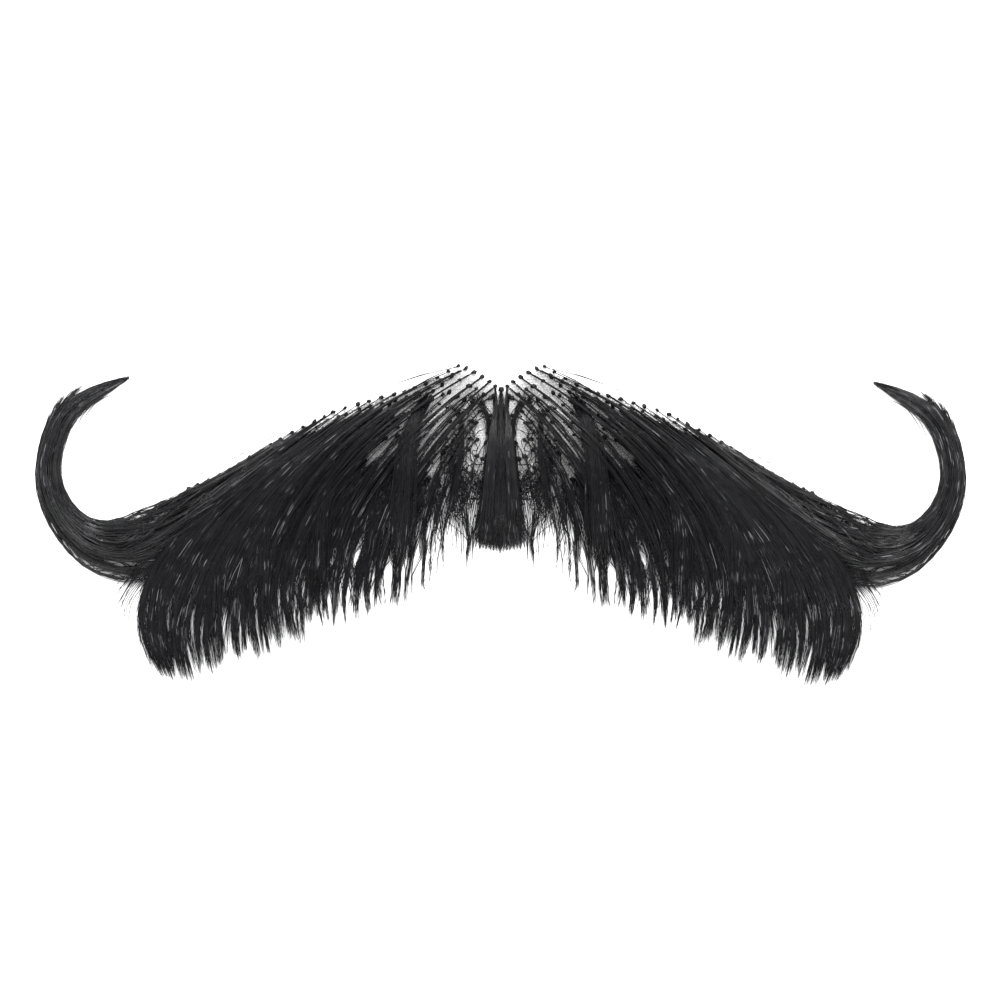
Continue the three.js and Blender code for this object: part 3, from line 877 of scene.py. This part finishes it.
# Partings: where across the curl, where along it they start and end, and half their width
partings = [
    (0.84, 0.46, 0.68, 0.07),
    (0.47, 0.465, 0.54, 0.08),
    (0.10, 0.42, 0.50, 0.02),
    (-0.62, 0.30, 0.37, 0.06),
    (-0.84, 0.34, 0.41, 0.06),
    (-0.66, 0.38, 0.45, 0.06),
    (-0.86, 0.42, 0.49, 0.05),
    (-0.45, 0.35, 0.41, 0.05),
]
curl_middle = smooth_line(curl_line * (half_span, half_height, 1, 1, 1), curl_steps)
for smoothing in range(smoothings):
    curl_middle[1:-1] = (curl_middle[:-2] + 2 * curl_middle[1:-1] + curl_middle[2:]) / 4
curl_ahead = np.gradient(curl_middle[:, :2], axis=0)
curl_ahead /= np.linalg.norm(curl_ahead, axis=1, keepdims=True)


def in_curl(along, aside, level):
    """Places in mm in a curl. along runs from 0 to 1, aside from -1 inside the turn to 1
    outside it, and level from -1 at the bottom to 1 on top."""
    at = np.linspace(0, 1, curl_steps)
    for middle, begin, finish, half in partings:
        opening = np.sin(np.pi * np.clip((along - begin) / (finish - begin), 0, 1))
        near = np.exp(-(((aside - middle) / parting_reach) ** 2))
        aside = aside + np.where(aside > middle, half, -half) * opening * near
    x, y, half_width, half_depth, over_lace, ahead_x, ahead_y = (
        np.interp(along, at, column) for column in np.concatenate([curl_middle, curl_ahead], 1).T
    )
    reach = aside * half_width
    near_wing = np.interp(along, (0.25, 0.32, 0.6, 0.7), (0, 1, 1, 0))
    flatness = 1 - 0.7 * near_wing * np.clip((abs(aside) - 0.25) / 0.25, 0, 1)
    height = lace_room * over_lace + half_depth * flatness * (1 + level)
    return np.stack([x + ahead_y * reach, y - ahead_x * reach, height], -1)


curl_hairs = 520
curl_points = 30
curl_strands = 70
curl_half_width = 0.072
waxed_hair = hair_material("waxed black hair", 0.3, 0.28, 0.05)
root_share = knot_x / half_span
own_edge = np.repeat(np.flatnonzero((knot_row < 1) & (root_share > 0.4)), 2)
turned_steps = 60
drawn_steps = 15
fine_part = (0.28, 0.56)

angle = rng.uniform(0, 2 * np.pi, (2, curl_strands))
radius = np.sqrt(rng.uniform(0, 1, curl_strands))
curl_strand_places = np.stack([radius * np.cos(angle[0]), radius * np.sin(angle[0])], -1)
curls = []
for hair in range(curl_hairs):
    angle, radius = rng.uniform(0, 2 * np.pi), math.sqrt(rng.uniform(0, 1))
    aside, level = radius * math.cos(angle), radius * math.sin(angle)
    strand = curl_strand_places[np.argmin(np.linalg.norm(curl_strand_places - (aside, level), axis=1))]
    outside = 0.5 + 0.5 * aside
    enter = rng.uniform(0.38, 0.47)
    finish = 1 - 0.1 * rng.uniform() ** 1.5 if rng.uniform() < 0.75 else rng.uniform(0.7, 0.95)
    blunt = aside > 0.45
    if blunt:
        finish = (0.899 if aside < 0.7 else 0.869) + rng.normal(0, 0.008)
    on_top_edge = aside < -0.86
    root_wish = np.clip(0.62 - 0.26 * outside + rng.normal(0, 0.05), 0.3, 0.68)
    row = rng.choice((1, 2, 3), p=(0.45, 0.3, 0.25))
    if on_top_edge:
        root_wish, row, enter = rng.uniform(0.42, 0.66), 0, 0.46
    knot = np.argmin(abs(root_share - root_wish) + 0.1 * abs(knot_row - row))
    if hair < len(own_edge):
        knot, aside, blunt = own_edge[hair], rng.uniform(-0.98, -0.5), False
    if aside < -0.4:
        enter = np.interp(root_share[knot], (0.4, 0.5, 0.68), (0.29, 0.36, 0.46))
    root = knots[knot, :2] + rng.normal(0, 0.09, 2)
    downwards = math.radians(rng.normal(35, 4))
    root_ahead = np.array((math.cos(downwards), -math.sin(downwards)))

    along = enter + (finish - enter) * np.linspace(0, 1, turned_steps)
    gather = 0.55 * np.interp(along, (0.4, 0.5, 0.95), (0, 1, 0.6))
    sway = rng.uniform(0, 2 * np.pi, 2)
    long_waves = 0.07 * np.sin(2 * np.pi * 1.3 * along + sway[0])
    short_waves = 0.03 * np.sin(2 * np.pi * 3.1 * along + sway[1])
    drift = long_waves + short_waves
    in_strand = aside + (strand[0] - aside) * gather + drift
    if blunt:
        in_strand = in_strand + 0.3 * np.clip((along - finish + 0.035) / 0.035, 0, 1) ** 2
    turned = in_curl(along, in_strand, level + (strand[1] - level) * gather)
    entry, entry_ahead = turned[0, :2], turned[1, :2] - turned[0, :2]
    entry_ahead = entry_ahead / np.linalg.norm(entry_ahead)
    handle = 0.36 * np.linalg.norm(entry - root)
    part = np.linspace(0, 1, drawn_steps + 1)[:-1, None]
    left = 1 - part
    drawn = (
        left**3 * root
        + 3 * left**2 * part * (root + root_ahead * handle)
        + 3 * left * part**2 * (entry - entry_ahead * handle)
        + part**3 * entry
    )
    root_height = lace_level(*root)
    rise = np.clip(part / 0.4, 0, 1) ** 0.7
    lift = root_height + (turned[0, 2] - root_height) * rise
    whole = np.concatenate([np.concatenate([drawn, lift], 1), turned])
    steps = np.linalg.norm(np.diff(whole, axis=0), axis=1)
    # More of a hair's points go where the curl turns hardest.
    fine = (along[1:] > fine_part[0]) & (along[1:] < fine_part[1])
    steps[:drawn_steps] *= 0.5
    steps[drawn_steps:] *= np.where(fine, 1.8, 0.75)
    curls.append(spaced_out(whole, steps, curl_points))
curls = np.array(curls)
curls[:, 1:] += rng.normal(0, hair_jitter, curls[:, 1:].shape) * (1, 1, 0)
curl_widths = tapered(curl_hairs, curl_points, curl_half_width, tip_share=0.08)
for side, sign in sides.items():
    hair_piece(f"{side}_curl_hair", curls * (sign, 1, 1), curl_widths, waxed_hair, f"{side}_curl")

# A few hairs have worked loose: kinked ones in the thin hair beside the nose, a fan below
# each curl, and single ones that stand off its sides and the top edge.
bush_hairs = 34
low_bush_hairs = 30
kinked_hairs = 78
kinked_points = 24
kinked_half_width = 0.058
share = np.linspace(0, 1, kinked_points)
kinked = []
for hair in range(kinked_hairs):
    if hair < bush_hairs:
        x, y, drop = rng.normal(7.3, 0.9), rng.uniform(8, 16), rng.uniform(3, 7)
    elif hair < bush_hairs + low_bush_hairs:
        x, y, drop = rng.normal(5.8, 1.8), rng.uniform(4.5, 9.5), rng.uniform(1.5, 4)
    else:
        x, y, drop = rng.normal(4.6, 1.8), rng.uniform(4, 21), rng.uniform(3, 8)
    slide = rng.normal(-0.2, 1.8)
    turns = rng.uniform(0.6, 3)
    swing = rng.uniform(0.25, 1.1) * (1 - 0.3 * share)
    phase = rng.uniform(0, 2 * np.pi, 2)
    across = abs(x) + slide * share + swing * np.sin(2 * np.pi * turns * share + phase[0])
    up = y - drop * share + 0.8 * swing * np.cos(2 * np.pi * turns * share + phase[1])
    height = 0.9 + 1.4 * rng.uniform() + 0.35 * np.sin(2 * np.pi * turns * share)
    kinked.append(np.stack([across, up, height], -1))
kinked = np.array(kinked)
kinked_widths = tapered(kinked_hairs, kinked_points, kinked_half_width, tip_share=0.15)
kinked_widths = kinked_widths * rng.uniform(0.9, 1.7, (kinked_hairs, 1))

# Three places that each loose hair passes, across and up
loose_routes = [
    ((0.089, 0.988), (0.173, 0.929), (0.281, 0.821)),
    ((0.120, 0.985), (0.220, 0.885), (0.310, 0.775)),
    ((0.330, 0.755), (0.430, 0.665), (0.510, 0.520)),
    ((0.454, 0.590), (0.530, 0.480), (0.622, 0.320)),
    ((0.518, 0.477), (0.600, 0.370), (0.671, 0.230)),
    ((0.915, 0.570), (0.872, 0.750), (0.803, 0.823)),
    ((0.925, 0.520), (0.900, 0.680), (0.850, 0.790)),
    ((0.992, 0.180), (0.977, -0.020), (0.935, -0.150)),
    ((0.915, -0.221), (0.876, -0.325), (0.815, -0.372)),
    ((0.900, -0.235), (0.850, -0.345), (0.790, -0.365)),
]
fan_first = ((0.790, -0.270), (0.822, -0.390), (0.866, -0.480))
fan_last = ((0.745, -0.300), (0.800, -0.540), (0.788, -0.780))
fan_hairs = 16
loose_points = 12
loose_half_width = 0.07
for hair in range(fan_hairs):
    part = hair / (fan_hairs - 1)
    route = np.array(fan_first) * (1 - part) + np.array(fan_last) * part
    loose_routes.append(route + rng.normal(0, 0.005, route.shape) * (1, 2))
loose = []
for route in loose_routes:
    line = smooth_line(np.array(route) * (half_span, half_height), loose_points)
    height = 1.2 * np.sin(np.linspace(0.25, 0.95, loose_points) * np.pi)[:, None] + 0.5
    loose.append(np.concatenate([line, height], 1))
loose = np.array(loose)
loose_widths = tapered(len(loose), loose_points, loose_half_width, tip_share=0.5)
for side, sign in sides.items():
    mirror = (sign, 1, 1)
    hair_piece(f"{side}_kinked_hair", kinked * mirror, kinked_widths, black_hair)
    hair_piece(f"{side}_loose_hair", loose * mirror, loose_widths, black_hair)
